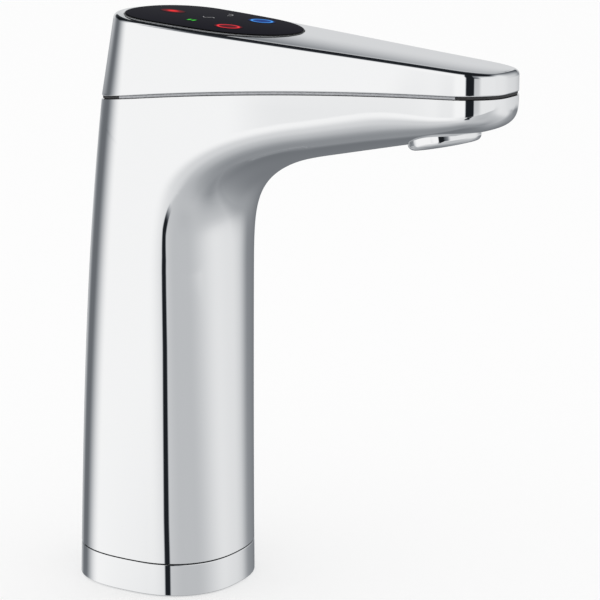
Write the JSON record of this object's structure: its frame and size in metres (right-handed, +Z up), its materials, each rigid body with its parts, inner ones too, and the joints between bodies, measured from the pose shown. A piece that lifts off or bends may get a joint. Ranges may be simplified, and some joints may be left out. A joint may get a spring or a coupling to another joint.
{
  "type": "water_dispenser_tap",
  "caption": "Bench-mounted instant hot and chilled water dispenser: oval chrome column, forward-leaning head with a black touch panel, downward outlet.",
  "frame": {"origin": "centre of the foot on the bench face, under the mounting plate", "axes": "+Z up, +X along the spout towards the outlet, +Y to the left when looking along the spout"},
  "size_m": [0.2051, 0.0736, 0.2558],
  "materials": {
    "chrome": "mirror polished",
    "panel_glass": "black, glossy, bevelled edge",
    "seal_rubber": "matt",
    "grey_plastic": "satin moulded",
    "white_plastic": "satin moulded",
    "steel": "plain",
    "board_green": "solder mask",
    "tube_plastic": "milky tube",
    "red_light": "lit light guide",
    "blue_light": "lit light guide",
    "green_light": "lit light guide"
  },
  "bodies": {
    "root": {"alert_lamp": "red_light", "base_ring": "chrome", "board_screw_1": "steel", "board_screw_2": "steel", "board_tray": "grey_plastic", "body_shell": "chrome", "chilled_tube": "tube_plastic", "chilled_tube_clip": "steel", "cold_light_ring": "blue_light", "collar_screw_1": "steel", "collar_screw_2": "steel", "collar_screw_3": "steel", "column_collar": "grey_plastic", "foot_seal": "seal_rubber", "front_pillar": "steel", "glass_pad": "seal_rubber", "grub_screw": "steel", "head_chassis": "grey_plastic", "hot_light_ring": "red_light", "hot_tube": "tube_plastic", "hot_tube_clip": "steel", "mounting_plate": "steel", "outlet_manifold": "grey_plastic", "parting_gasket": "seal_rubber", "pillar_screw_1": "steel", "pillar_screw_2": "steel", "pillar_screw_3": "steel", "ready_lamp_1": "green_light", "ready_lamp_2": "green_light", "side_pillar_1": "steel", "side_pillar_2": "steel", "signal_cable": "seal_rubber", "top_cover": "chrome", "touch_board": "board_green", "touch_glass": "panel_glass", "tube_guide": "grey_plastic"},
    "nozzle_travel": {"outlet_seal": "seal_rubber"},
    "nozzle": {"outlet_nozzle": "chrome", "flow_insert": "white_plastic"}
  },
  "joints": [
    {"name": "outlet_travel", "type": "slide", "parent": "root", "child": "nozzle_travel", "axis": [0.1933, 0, -0.9811], "range_m": [0, 0.003]},
    {"name": "outlet_thread", "type": "hinge", "parent": "nozzle_travel", "child": "nozzle", "pos_m": [0.138, 0, 0.20814], "axis": [0.1933, 0, -0.9811], "range_deg": [0, 1080]}
  ],
  "couplings": [
    {"joint": "outlet_travel", "follows": "outlet_thread", "m_per_rad": 0.00015915}
  ]
}
